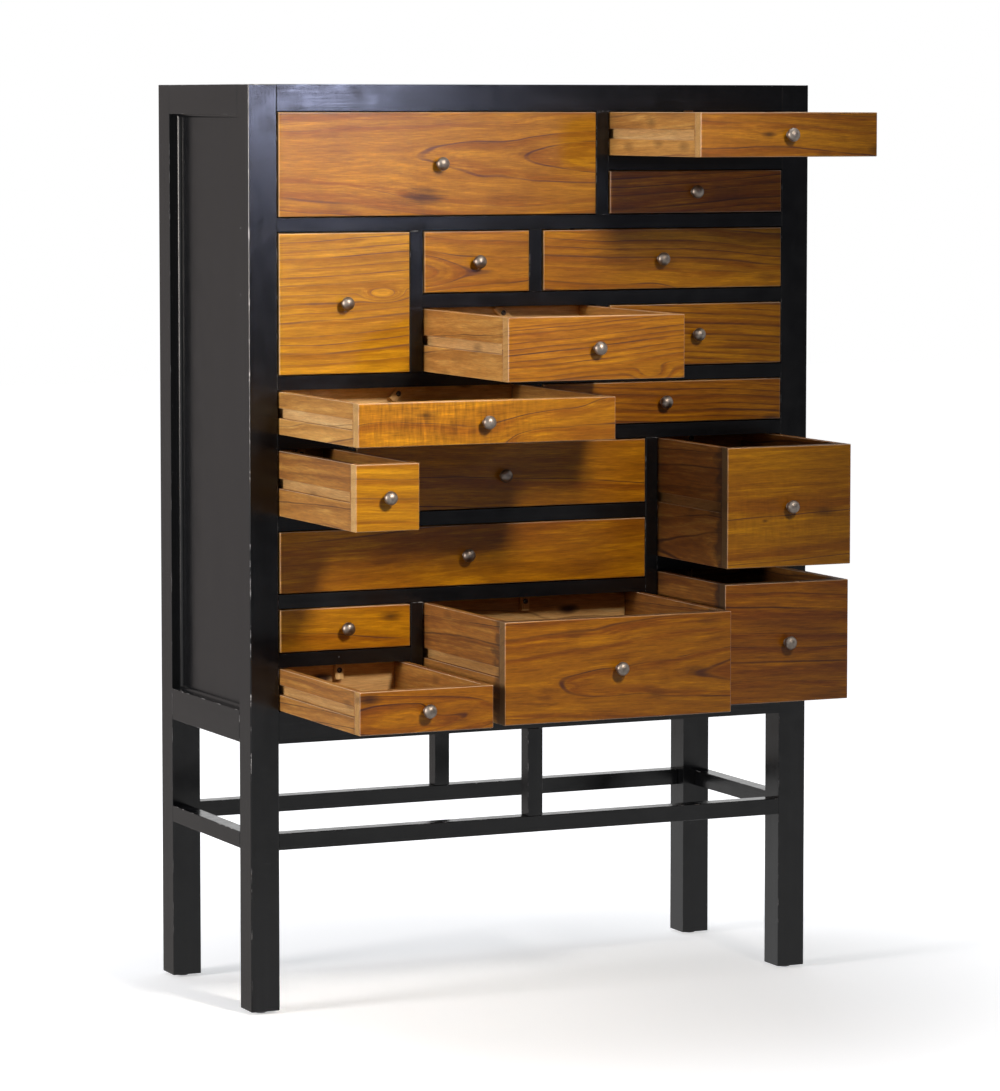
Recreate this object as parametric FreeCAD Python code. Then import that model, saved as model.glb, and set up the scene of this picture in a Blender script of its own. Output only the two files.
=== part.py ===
import FreeCAD
import Part
import math
import os

# Eighteen-drawer chest on tall legs: a lacquered case whose stained drawers hang on side runners.
#
# Millimetres. X runs to the right, Y to the back and Z up. The origin is on the floor, at the centre
# of the four feet. The drawers stand where they rest: ten are shut and eight are pulled out.

# ---------------------------------------------------------------- driving dimensions

# Case
WIDTH = 900.0
DEPTH = 360.0
LEG = 44.0                 # square legs, which are also the stiles of the case
LEG_CLEARANCE = 387.0      # bottom of the legs to the underside of the case
TOP_RAIL = 38.0            # heights of the front and back rails
BOTTOM_RAIL = 46.0
SIDE_TOP_RAIL = 43.0
FRONT_RAIL_DEPTH = 20.0    # every rail of the front and the back, front to back
SIDE_RAIL_DEPTH = 30.0
DIVIDER = 20.0             # face width of the bars between the drawers
PANEL = 8.0                # side, back and bottom panels
TOP_PANEL = 12.0
TOP_TONGUE = 4.0
DUST_PANEL = 6.0
SIDE_PANEL_RECESS = 17.0
BACK_PANEL_RECESS = 6.0
BOTTOM_PANEL_LIFT = 12.0   # underside of the case to the bottom panel
BEAD = 5.0                 # quarter-round strips round the side panels

# Joints of the case
GROOVE = 5.0               # depth of every panel groove, and the shoulder round every tenon
LEG_TENON = 20.0
BAR_TENON = 8.0            # tenons of the thin bars into each other

# Underframe
STRETCHER = 24.0           # square stretchers and centre posts
STRETCHER_LIFT = 233.0     # bottom of the legs to the stretchers
GLIDE_RADIUS = 9.0
GLIDE = 4.0

# Heights of the openings that set the rows, top row first
OPENING_02 = 66.7
OPENING_03 = 65.3
OPENING_05 = 91.5
OPENING_08 = 93.8
OPENING_10 = 64.5
OPENING_11 = 96.9
OPENING_14 = 91.5
OPENING_16 = 64.8
OPENING_18 = 64.0
OPENING_15 = 178.7

# Widths of the openings that set the columns
RIGHT_COLUMN = 288.0       # drawers 02, 03 and 08
CORNER_COLUMN = 206.0      # drawers 04, 16 and 18 at the left, 13 and 15 at the right
OPENING_11_WIDTH = 99.0

# Drawers
DRAWER_GAP = 1.75          # between a drawer and its opening, all round
FRONT_PROUD = 2.5          # of the case's face, when shut
FRONT_BOARD = 18.0
FRONT_EASING = 2.0         # radius on the arrises of the front
SIDE_BOARD = 11.0
BOTTOM_BOARD = 5.0
BOTTOM_LIFT = 8.0          # underside of the sides to the bottom board
REAR_GAP = 16.0            # behind a shut drawer

# Runners
RUNNER_GROOVE_HEIGHT = 14.4
RUNNER_GROOVE_DEPTH = 6.0
RUNNER_GROOVE_STOP = 4.0   # wood left between the groove and the front board
RUNNER_PLAY = 0.6          # above, below and beside the runner

# Knobs and the screws that hold them
KNOB_RADIUS = 9.8
KNOB_NECK_RADIUS = 4.0
KNOB_COLLAR_RADIUS = 6.0
KNOB_COLLAR = 1.2
KNOB_NECK = 3.5            # front of the drawer to the back of the ball
KNOB_BALL = 15.0           # front to back of the ball
KNOB_THREAD = 10.0         # reach of the screw into the knob
SCREW_RADIUS = 2.0
SCREW_HEAD_RADIUS = 4.0
SCREW_HEAD = 2.2
SCREW_PLAY = 0.3

# Turn-buttons that stop the drawers
STOP_LENGTH = 28.0
STOP_WIDTH = 13.0
STOP_BOARD = 8.0
STOP_DROP = 9.0            # top of the drawer to the button's screw
STOP_SCREW_REACH = 8.0     # into the back board
STOP_MARGIN = 0.5          # left between the button and the rail at full travel

# How far short of full travel each open drawer stands
SHORT_OF_STOP = {2: 1.0, 7: 3.0, 10: 4.0, 11: 13.0, 13: 72.0, 15: 78.0, 17: 14.0, 18: 1.0}
# The tilt of each button that is a piece of its own, in degrees from upright
LOOSE_STOP_TILT = {7: -45.0, 10: 45.0}
# How far to the left of the middle the knobs that were fitted by eye are
KNOB_SHIFT = {3: 4.0, 6: 5.5, 10: 3.5}

# ---------------------------------------------------------------- places that follow from them

front_face = -DEPTH / 2
back_face = DEPTH / 2
rail_back = front_face + FRONT_RAIL_DEPTH
back_rail_front = back_face - FRONT_RAIL_DEPTH
leg_back = front_face + LEG
side_face = WIDTH / 2
left = LEG - side_face
right = side_face - LEG
side_panel_face = side_face - SIDE_PANEL_RECESS
back_panel_back = back_face - BACK_PANEL_RECESS
back_panel_front = back_panel_back - PANEL

x_ad = right - RIGHT_COLUMN - DIVIDER
x_bh = left + CORNER_COLUMN
x_ce = -DIVIDER / 2
x_f = left + OPENING_11_WIDTH
x_g = right - CORNER_COLUMN - DIVIDER

case_bottom = GLIDE + LEG_CLEARANCE
base = case_bottom + BOTTOM_RAIL
z_i = base + OPENING_18
z_h = base + OPENING_15
z_g = z_i + DIVIDER + OPENING_16
z_f = z_g + DIVIDER + OPENING_14
z_e = z_f + DIVIDER + OPENING_11
z_d = z_e + DIVIDER + OPENING_10
z_c = z_d + DIVIDER + OPENING_08
z_a = z_c + DIVIDER + OPENING_05
z_b = z_a + DIVIDER + OPENING_03
ceiling = z_b + DIVIDER + OPENING_02
height = ceiling + TOP_RAIL
stretcher_bottom = GLIDE + STRETCHER_LIFT
stretcher_top = stretcher_bottom + STRETCHER
bottom_panel_bottom = case_bottom + BOTTOM_PANEL_LIFT
bottom_panel_top = bottom_panel_bottom + PANEL
top_panel_bottom = height - TOP_PANEL
side_opening_top = height - SIDE_TOP_RAIL

# The bars across the front: left end, right end, underside
DRAWER_RAILS = {
    "a": (left, right, z_a),
    "b": (x_ad + DIVIDER, right, z_b),
    "c": (x_bh + DIVIDER, right, z_c),
    "d": (left, right, z_d),
    "e": (left, right, z_e),
    "f": (left, x_g, z_f),
    "g": (left, x_g, z_g),
    "h": (x_g + DIVIDER, right, z_h),
    "i": (left, x_bh, z_i),
}

# The upright bars of the front: left edge, bottom, top
MULLIONS = {
    "a": (x_ad, z_a + DIVIDER, ceiling),
    "b": (x_bh, z_d + DIVIDER, z_a),
    "c": (x_ce, z_c + DIVIDER, z_a),
    "d": (x_ad, z_d + DIVIDER, z_c),
    "e": (x_ce, z_e + DIVIDER, z_d),
    "f": (x_f, z_f + DIVIDER, z_e),
    "g": (x_g, base, z_e),
    "h": (x_bh, base, z_g),
}

# The opening of each drawer: left, right, bottom, top
OPENINGS = {
    1: (left, x_ad, z_a + DIVIDER, ceiling),
    2: (x_ad + DIVIDER, right, z_b + DIVIDER, ceiling),
    3: (x_ad + DIVIDER, right, z_a + DIVIDER, z_b),
    4: (left, x_bh, z_d + DIVIDER, z_a),
    5: (x_bh + DIVIDER, x_ce, z_c + DIVIDER, z_a),
    6: (x_ce + DIVIDER, right, z_c + DIVIDER, z_a),
    7: (x_bh + DIVIDER, x_ad, z_d + DIVIDER, z_c),
    8: (x_ad + DIVIDER, right, z_d + DIVIDER, z_c),
    9: (x_ce + DIVIDER, right, z_e + DIVIDER, z_d),
    10: (left, x_ce, z_e + DIVIDER, z_d),
    11: (left, x_f, z_f + DIVIDER, z_e),
    12: (x_f + DIVIDER, x_g, z_f + DIVIDER, z_e),
    13: (x_g + DIVIDER, right, z_h + DIVIDER, z_e),
    14: (left, x_g, z_g + DIVIDER, z_f),
    15: (x_g + DIVIDER, right, base, z_h),
    16: (left, x_bh, z_i + DIVIDER, z_g),
    17: (x_bh + DIVIDER, x_g, base, z_g),
    18: (left, x_bh, base, z_i),
}

drawer_front = front_face - FRONT_PROUD
drawer_board_back = drawer_front + FRONT_BOARD
drawer_back = back_panel_front - REAR_GAP
stop_back = drawer_back - SIDE_BOARD - SCREW_PLAY
stop_front = stop_back - STOP_BOARD
travel = stop_front - rail_back - STOP_MARGIN


# ---------------------------------------------------------------- helpers

def box(low, high):
    """A block between two opposite corners."""
    size = [b - a for a, b in zip(low, high)]
    return Part.makeBox(size[0], size[1], size[2], FreeCAD.Vector(low[0], low[1], low[2]))


def cylinder(radius, start, end, x, z):
    """A round bar along Y."""
    return Part.makeCylinder(radius, end - start, FreeCAD.Vector(x, start, z), FreeCAD.Vector(0, 1, 0))


def mirrored(shape):
    """The same piece on the other side of the case."""
    return shape.mirror(FreeCAD.Vector(0, 0, 0), FreeCAD.Vector(1, 0, 0))


def export(name, solids):
    """One file for one sub-part, which may be a group of separate solids."""
    shape = solids[0] if len(solids) == 1 else Part.makeCompound(solids)
    shape.exportStep("parts/" + name + ".step")


def overlap(first, second):
    """Whether the boxes round two shapes share any room."""
    a = first.BoundBox
    b = second.BoundBox
    return (a.XMin < b.XMax and b.XMin < a.XMax and a.YMin < b.YMax and b.YMin < a.YMax
            and a.ZMin < b.ZMax and b.ZMin < a.ZMax)


def without(shape, cutters):
    """A piece less every cutter that reaches into it."""
    for cutter in cutters:
        if overlap(shape, cutter):
            shape = shape.cut(cutter)
    return shape


def rounded(solid, chosen, radius):
    """A solid with a radius on every edge whose ends are all chosen."""
    edges = [edge for edge in solid.Edges if all(chosen(vertex.Point) for vertex in edge.Vertexes)]
    return solid.makeFillet(radius, edges)


def tenon(low, high, axis, start, end):
    """The tenon of a bar between two corners, from start to end along the bar."""
    tenon_low = [value + GROOVE for value in low]
    tenon_high = [value - GROOVE for value in high]
    tenon_low[axis] = start
    tenon_high[axis] = end
    return box(tenon_low, tenon_high)


def bar(low, high, axis, reach_low, reach_high):
    """A bar between two corners and the tenons at its ends."""
    tenons = [
        tenon(low, high, axis, low[axis] - reach_low, low[axis]),
        tenon(low, high, axis, high[axis], high[axis] + reach_high),
    ]
    return box(low, high), tenons


# ---------------------------------------------------------------- the case's bars

def leg(x_side, y_side):
    """One leg, from its glide to the top of the case."""
    x = x_side * (side_face - LEG / 2)
    y = y_side * (back_face - LEG / 2)
    half = LEG / 2
    return box((x - half, y - half, GLIDE), (x + half, y + half, height))


def cross_rail(y_low, y_high, bottom, top):
    """A rail between two legs of the front or the back."""
    return bar((left, y_low, bottom), (right, y_high, top), 0, LEG_TENON, LEG_TENON)


def side_rail(x_low, x_high, bottom, top):
    """A rail between the front and the back leg of one side."""
    return bar((x_low, leg_back, bottom), (x_high, -leg_back, top), 1, LEG_TENON, LEG_TENON)


def bar_reach(end):
    """Tenon of a drawer rail: long into a leg, short into an upright bar."""
    return LEG_TENON if end in (left, right) else BAR_TENON


LEGS = {
    "leg_front_left": leg(-1, -1),
    "leg_front_right": leg(1, -1),
    "leg_back_left": leg(-1, 1),
    "leg_back_right": leg(1, 1),
}

rail_inside = side_face - SIDE_RAIL_DEPTH
stretcher_inside = side_face - STRETCHER
post_half = STRETCHER / 2

# Every other bar: the node it belongs to, its body and its tenons
BARS = [
    ("front_rails", cross_rail(front_face, rail_back, ceiling, height)),
    ("front_rails", cross_rail(front_face, rail_back, case_bottom, base)),
    ("back_rails", cross_rail(back_rail_front, back_face, ceiling, height)),
    ("back_rails", cross_rail(back_rail_front, back_face, case_bottom, base)),
    ("side_rails_left", side_rail(-side_face, -rail_inside, side_opening_top, height)),
    ("side_rails_left", side_rail(-side_face, -rail_inside, case_bottom, base)),
    ("side_rails_right", side_rail(rail_inside, side_face, side_opening_top, height)),
    ("side_rails_right", side_rail(rail_inside, side_face, case_bottom, base)),
    ("stretchers", cross_rail(front_face, front_face + STRETCHER, stretcher_bottom, stretcher_top)),
    ("stretchers", cross_rail(back_face - STRETCHER, back_face, stretcher_bottom, stretcher_top)),
    ("stretchers", side_rail(-side_face, -stretcher_inside, stretcher_bottom, stretcher_top)),
    ("stretchers", side_rail(stretcher_inside, side_face, stretcher_bottom, stretcher_top)),
]

for post_front in (front_face, back_face - STRETCHER):
    post_low = (-post_half, post_front, stretcher_top)
    post_high = (post_half, post_front + STRETCHER, case_bottom)
    BARS.append(("centre_posts", bar(post_low, post_high, 2, BAR_TENON, BAR_TENON)))

for start, end, bottom in DRAWER_RAILS.values():
    rail_low = (start, front_face, bottom)
    rail_high = (end, rail_back, bottom + DIVIDER)
    BARS.append(("drawer_rails", bar(rail_low, rail_high, 0, bar_reach(start), bar_reach(end))))

for edge, bottom, top in MULLIONS.values():
    mullion_low = (edge, front_face, bottom)
    mullion_high = (edge + DIVIDER, rail_back, top)
    BARS.append(("drawer_mullions", bar(mullion_low, mullion_high, 2, BAR_TENON, BAR_TENON)))


# ---------------------------------------------------------------- the case's panels

def side_panel():
    """The left side's panel, whose edges stand in the grooves of the legs and rails."""
    return box((-side_panel_face, leg_back - GROOVE, base - GROOVE),
               (PANEL - side_panel_face, GROOVE - leg_back, side_opening_top + GROOVE))


def back_panel():
    """The back, in the grooves of the back legs and rails."""
    return box((left - GROOVE, back_panel_front, base - GROOVE),
               (right + GROOVE, back_panel_back, ceiling + GROOVE))


def bottom_panel():
    """The floor of the case, notched round the legs."""
    low = (-rail_inside - GROOVE, rail_back - GROOVE, bottom_panel_bottom)
    high = (rail_inside + GROOVE, back_rail_front + GROOVE, bottom_panel_top)
    return without(box(low, high), LEGS.values())


def top_panel():
    """The top, flush with the rails, with a tongue all round."""
    field = box((-rail_inside, rail_back, top_panel_bottom), (rail_inside, back_rail_front, height))
    tongue_bottom = top_panel_bottom + (TOP_PANEL - TOP_TONGUE) / 2
    tongue = box((-rail_inside - GROOVE, rail_back - GROOVE, tongue_bottom),
                 (rail_inside + GROOVE, back_rail_front + GROOVE, tongue_bottom + TOP_TONGUE))
    return without(field.fuse(tongue).removeSplitter(), LEGS.values())


def dust_panel(start, end, bottom):
    """The thin board behind a drawer rail, let into the rail and the partitions beside it."""
    lining = side_panel_face - PANEL
    x_low = -lining if start == left else start - GROOVE
    x_high = lining if end == right else end + GROOVE
    z_low = bottom + (DIVIDER - DUST_PANEL) / 2
    panel = box((x_low, rail_back - GROOVE, z_low), (x_high, back_panel_front, z_low + DUST_PANEL))
    return without(panel, LEGS.values())


def partition(edge, bottom, top):
    """The full-depth board behind an upright bar, from one dust panel to the next."""
    overlap_height = (DIVIDER - DUST_PANEL) / 2
    z_low = bottom_panel_top if bottom == base else bottom - overlap_height
    z_high = top_panel_bottom if top == ceiling else top + overlap_height
    return box((edge, rail_back, z_low), (edge + DIVIDER, back_rail_front, z_high))


def quarter_round(start, direction, length, frame_opening):
    """The quarter of a round bar that lies in the frame's opening."""
    whole = Part.makeCylinder(BEAD, length, FreeCAD.Vector(start[0], start[1], start[2]), direction)
    return whole.common(frame_opening)


def bead_strips():
    """The strips in the corners between the left panel and its frame."""
    frame_opening = box((-side_face, leg_back, base), (-side_panel_face, -leg_back, side_opening_top))
    across = FreeCAD.Vector(0, 1, 0)
    upwards = FreeCAD.Vector(0, 0, 1)
    length = -2 * leg_back
    tall = side_opening_top - base
    uprights = [
        quarter_round((-side_panel_face, y, base), upwards, tall, frame_opening)
        for y in (leg_back, -leg_back)
    ]
    levels = [
        quarter_round((-side_panel_face, leg_back, z), across, length, frame_opening)
        for z in (base, side_opening_top)
    ]
    return uprights + [without(level, uprights) for level in levels]


left_panel = side_panel()
back = back_panel()
bottom_board = bottom_panel()
top_board = top_panel()
dust_panels = [dust_panel(*rail) for rail in DRAWER_RAILS.values()]
partitions = [partition(*mullion) for mullion in MULLIONS.values()]


# ---------------------------------------------------------------- runners and glides

def runners(opening):
    """The two strips that carry one drawer."""
    x_low, x_high, z_low, z_high = opening
    thickness = DRAWER_GAP + RUNNER_GROOVE_DEPTH - RUNNER_PLAY
    middle = (z_low + z_high) / 2
    half = RUNNER_GROOVE_HEIGHT / 2 - RUNNER_PLAY
    return [
        box((x_low, rail_back, middle - half), (x_low + thickness, drawer_back, middle + half)),
        box((x_high - thickness, rail_back, middle - half), (x_high, drawer_back, middle + half)),
    ]


def glide(leg_solid):
    """The round pad under one leg."""
    centre = leg_solid.BoundBox.Center
    return Part.makeCylinder(GLIDE_RADIUS, GLIDE, FreeCAD.Vector(centre.x, centre.y, 0))


# ---------------------------------------------------------------- drawers

def screw(x, z, start, end, head_start):
    """A screw along Y with its head from head_start, on the side that the shank leaves."""
    shank = cylinder(SCREW_RADIUS, start, end, x, z)
    head = cylinder(SCREW_HEAD_RADIUS, head_start, head_start + SCREW_HEAD, x, z)
    return shank.fuse(head).removeSplitter()


def front_board(x_low, x_high, z_low, z_high, knob_x, knob_z):
    """The front of a drawer, eased round its face and bored for the knob's screw."""
    board = box((x_low, drawer_front, z_low), (x_high, drawer_board_back, z_high))
    board = rounded(board, lambda point: point.y < drawer_front + FRONT_EASING, FRONT_EASING)
    bore = cylinder(SCREW_RADIUS + SCREW_PLAY, drawer_front, drawer_board_back, knob_x, knob_z)
    return board.cut(bore)


def side_board(x_low, x_high, z_low, z_high, groove_low, groove_high):
    """A side of a drawer, with the stopped groove that the runner fills."""
    board = box((x_low, drawer_board_back - GROOVE, z_low), (x_high, drawer_back, z_high))
    middle = (z_low + z_high) / 2
    half = RUNNER_GROOVE_HEIGHT / 2
    groove = box((groove_low, drawer_board_back + RUNNER_GROOVE_STOP, middle - half),
                 (groove_high, drawer_back, middle + half))
    return board.cut(groove)


def knob(x, z):
    """A flattened ball on a neck and collar, bored for its screw."""
    half_ball = KNOB_BALL / 2
    ball_centre = drawer_front - KNOB_NECK - half_ball
    neck_turn = math.acos(KNOB_NECK_RADIUS / KNOB_RADIUS)

    def at(radius, y):
        return FreeCAD.Vector(x + radius, y, z)

    bore_end = at(0, drawer_front - KNOB_THREAD)
    tip = at(0, ball_centre - half_ball)
    steps = [
        bore_end,
        at(SCREW_RADIUS, drawer_front - KNOB_THREAD),
        at(SCREW_RADIUS, drawer_front),
        at(KNOB_COLLAR_RADIUS, drawer_front),
        at(KNOB_COLLAR_RADIUS, drawer_front - KNOB_COLLAR),
        at(KNOB_NECK_RADIUS, drawer_front - 2 * KNOB_COLLAR),
        at(KNOB_NECK_RADIUS, ball_centre + half_ball * math.sin(neck_turn)),
    ]
    ball = Part.Ellipse(at(0, ball_centre), KNOB_RADIUS, half_ball)
    curve = Part.ArcOfEllipse(ball, -math.pi / 2, neck_turn).toShape()
    outline = Part.makePolygon(steps).Edges + [curve, Part.makeLine(tip, bore_end)]
    return Part.Face(Part.Wire(outline)).revolve(bore_end, FreeCAD.Vector(0, 1, 0), 360)


def knob_screw(x, z):
    """The screw through the front board into the knob, with its head inside the drawer."""
    return screw(x, z, drawer_front - KNOB_THREAD, drawer_board_back, drawer_board_back)


def stop_button(x, z, tilt):
    """The turn-button on the back board, tilted from upright about its screw."""
    button = box((x - STOP_WIDTH / 2, stop_front, z - STOP_LENGTH / 2),
                 (x + STOP_WIDTH / 2, stop_back, z + STOP_LENGTH / 2))
    button.rotate(FreeCAD.Vector(x, stop_front, z), FreeCAD.Vector(0, 1, 0), tilt)
    return button.cut(cylinder(SCREW_RADIUS + SCREW_PLAY, stop_front, stop_back, x, z))


def stop_screw(x, z):
    """The screw that the turn-button turns on."""
    head_start = stop_front - SCREW_PLAY - SCREW_HEAD
    return screw(x, z, head_start, drawer_back - SIDE_BOARD + STOP_SCREW_REACH, head_start)


def drawer(number):
    """One drawer where it rests: its box, its knob and screw, and its turn-button."""
    x_low, x_high, z_low, z_high = OPENINGS[number]
    x_low += DRAWER_GAP
    x_high -= DRAWER_GAP
    z_low += DRAWER_GAP
    z_high -= DRAWER_GAP
    x = (x_low + x_high) / 2
    z = (z_low + z_high) / 2
    knob_x = x - KNOB_SHIFT.get(number, 0.0)
    stop_z = z_high - STOP_DROP
    inside_low = x_low + SIDE_BOARD
    inside_high = x_high - SIDE_BOARD

    sides = [
        side_board(x_low, inside_low, z_low, z_high, x_low, x_low + RUNNER_GROOVE_DEPTH),
        side_board(inside_high, x_high, z_low, z_high, x_high - RUNNER_GROOVE_DEPTH, x_high),
    ]
    bottom = box((inside_low - GROOVE, drawer_board_back - GROOVE, z_low + BOTTOM_LIFT),
                 (inside_high + GROOVE, drawer_back - SIDE_BOARD + GROOVE,
                  z_low + BOTTOM_LIFT + BOTTOM_BOARD))
    rear = box((inside_low, drawer_back - SIDE_BOARD, z_low), (inside_high, drawer_back, z_high))
    button_screw = stop_screw(x, stop_z)
    front = without(front_board(x_low, x_high, z_low, z_high, knob_x, z), sides + [bottom])
    rear = without(rear, [bottom, button_screw])
    button = stop_button(x, stop_z, LOOSE_STOP_TILT.get(number, 0.0))

    pieces = {
        "box": [front] + [without(side, [bottom]) for side in sides] + [rear, bottom, button_screw],
        "knob": [knob(knob_x, z), knob_screw(knob_x, z)],
    }
    if number in LOOSE_STOP_TILT:
        pieces["stop"] = [button]
    else:
        pieces["box"].append(button)

    pull = travel - SHORT_OF_STOP[number] if number in SHORT_OF_STOP else 0.0
    for solids in pieces.values():
        for solid in solids:
            solid.translate(FreeCAD.Vector(0, -pull, 0))
    return pieces


# ---------------------------------------------------------------- cutting the joints, and the files

os.makedirs("parts", exist_ok=True)

panels = [left_panel, mirrored(left_panel), back, bottom_board, top_board] + dust_panels
tenons = [solid for name, (body, ends) in BARS for solid in ends]

for name, solid in LEGS.items():
    export(name, [without(solid, tenons + panels)])

bars = {}
for name, (body, own) in BARS:
    others = [solid for solid in tenons if solid not in own]
    finished = without(body, others + panels).fuse(own).removeSplitter()
    bars.setdefault(name, []).append(finished)
for name, solids in bars.items():
    export(name, solids)

left_beads = bead_strips()
export("side_panel_left", [left_panel])
export("side_panel_right", [mirrored(left_panel)])
export("side_panel_beads", left_beads + [mirrored(strip) for strip in left_beads])
export("back_panel", [back])
export("bottom_panel", [bottom_board])
export("top_panel", [top_board])
export("dust_panels", dust_panels)
export("partitions", [without(solid, dust_panels) for solid in partitions])
export("drawer_runners", [strip for opening in OPENINGS.values() for strip in runners(opening)])
export("floor_glides", [glide(solid) for solid in LEGS.values()])

for number in OPENINGS:
    for piece, solids in drawer(number).items():
        export("drawer_%02d_%s" % (number, piece), solids)
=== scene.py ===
"""Eighteen-drawer chest on tall legs: its looks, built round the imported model."""
import math
import random

import bmesh
import bpy
from mathutils import Matrix, Vector


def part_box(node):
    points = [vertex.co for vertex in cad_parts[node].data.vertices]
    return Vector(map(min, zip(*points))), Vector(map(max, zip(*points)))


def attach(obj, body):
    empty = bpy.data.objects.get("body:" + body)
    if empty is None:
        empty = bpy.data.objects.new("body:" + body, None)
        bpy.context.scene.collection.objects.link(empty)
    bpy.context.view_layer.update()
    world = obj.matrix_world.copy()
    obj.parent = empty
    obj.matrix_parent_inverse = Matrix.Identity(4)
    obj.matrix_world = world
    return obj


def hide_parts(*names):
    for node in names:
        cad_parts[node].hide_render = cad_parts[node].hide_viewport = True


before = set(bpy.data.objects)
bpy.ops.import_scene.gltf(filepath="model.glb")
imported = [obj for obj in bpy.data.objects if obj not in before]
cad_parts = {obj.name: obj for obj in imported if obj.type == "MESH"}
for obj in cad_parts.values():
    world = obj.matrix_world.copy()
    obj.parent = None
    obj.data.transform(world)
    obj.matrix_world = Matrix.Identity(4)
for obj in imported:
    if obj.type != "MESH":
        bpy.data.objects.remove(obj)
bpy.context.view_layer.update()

# ---------------------------------------------------------------- legs and case
# The legs, rails, bars, panels and stretchers are hardwood, sawn and planed, tenoned and grooved
# into each other, then sprayed together with satin black lacquer. Sanding before the lacquer has
# eased every arris, and handling has since thinned it there. A painted highlight runs down the
# outer arris of the front left leg.

MM = 0.001
WELD = 0.005 * MM           # points nearer than this are one
SHARP = math.radians(40)    # edges that turn by more are eased
CASE_ARRIS = 0.9 * MM
GLINT_ARRIS = 1.5 * MM
GLINT_NODE = "leg_front_left"
CASE_NODES = [
    "leg_front_left", "leg_front_right", "leg_back_left", "leg_back_right", "front_rails",
    "back_rails", "side_rails_left", "side_rails_right", "side_panel_left", "side_panel_right",
    "top_panel", "drawer_rails", "drawer_mullions", "stretchers", "centre_posts",
]


def linear(colour):
    """A hex sRGB colour as linear RGBA."""
    parts = [int(colour[start:start + 2], 16) / 255 for start in (0, 2, 4)]
    return [part / 12.92 if part <= 0.04045 else ((part + 0.055) / 1.055) ** 2.4
            for part in parts] + [1.0]


def add_node(tree, kind, sockets=None, stops=None, **settings):
    """One shader node. A socket takes a value or another node's output; stops are a ramp's."""
    node = tree.nodes.new("ShaderNode" + kind)
    for name, value in settings.items():
        setattr(node, name, value)
    for name, value in (sockets or {}).items():
        if isinstance(value, bpy.types.NodeSocket):
            tree.links.new(value, node.inputs[name])
        else:
            node.inputs[name].default_value = value
    if stops:
        ramp = node.color_ramp.elements
        ramp[1].position, ramp[1].color = stops[-1][0], linear(stops[-1][1])
        ramp[0].position, ramp[0].color = stops[0][0], linear(stops[0][1])
        for place, colour in stops[1:-1]:
            ramp.new(place).color = linear(colour)
    return node


def blank_material(name):
    """A new material and its empty tree."""
    material = bpy.data.materials.new(name)
    material.use_nodes = True
    material.node_tree.nodes.clear()
    return material, material.node_tree


def drawn_out(tree, place, per_metre, detail, roughness=0.5, seed=None):
    """A pattern drawn out along the grain, with so many patches to the metre along, across and
    out of the wood. A seed gives each board its own."""
    stretched = add_node(tree, "VectorMath", {0: place, 1: per_metre}, operation="MULTIPLY")
    sockets = {"Vector": stretched.outputs[0], "Scale": 1.0, "Detail": detail,
               "Roughness": roughness}
    if seed is None:
        return add_node(tree, "TexNoise", sockets).outputs["Fac"]
    sockets["W"] = seed
    return add_node(tree, "TexNoise", sockets, noise_dimensions="4D").outputs["Fac"]


def give_surface(tree, colour, gloss, relief, strength, depth, **nature):
    """Ends a material's tree in its shader. Its relief has a depth in metres, and its nature is
    the shader's other values."""
    bump = add_node(tree, "Bump", {"Height": relief, "Strength": strength, "Distance": depth})
    shader = add_node(tree, "BsdfPrincipled", {"Base Color": colour, "Roughness": gloss,
                                               "Normal": bump.outputs["Normal"], **nature})
    add_node(tree, "OutputMaterial", {"Surface": shader.outputs["BSDF"]})


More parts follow.
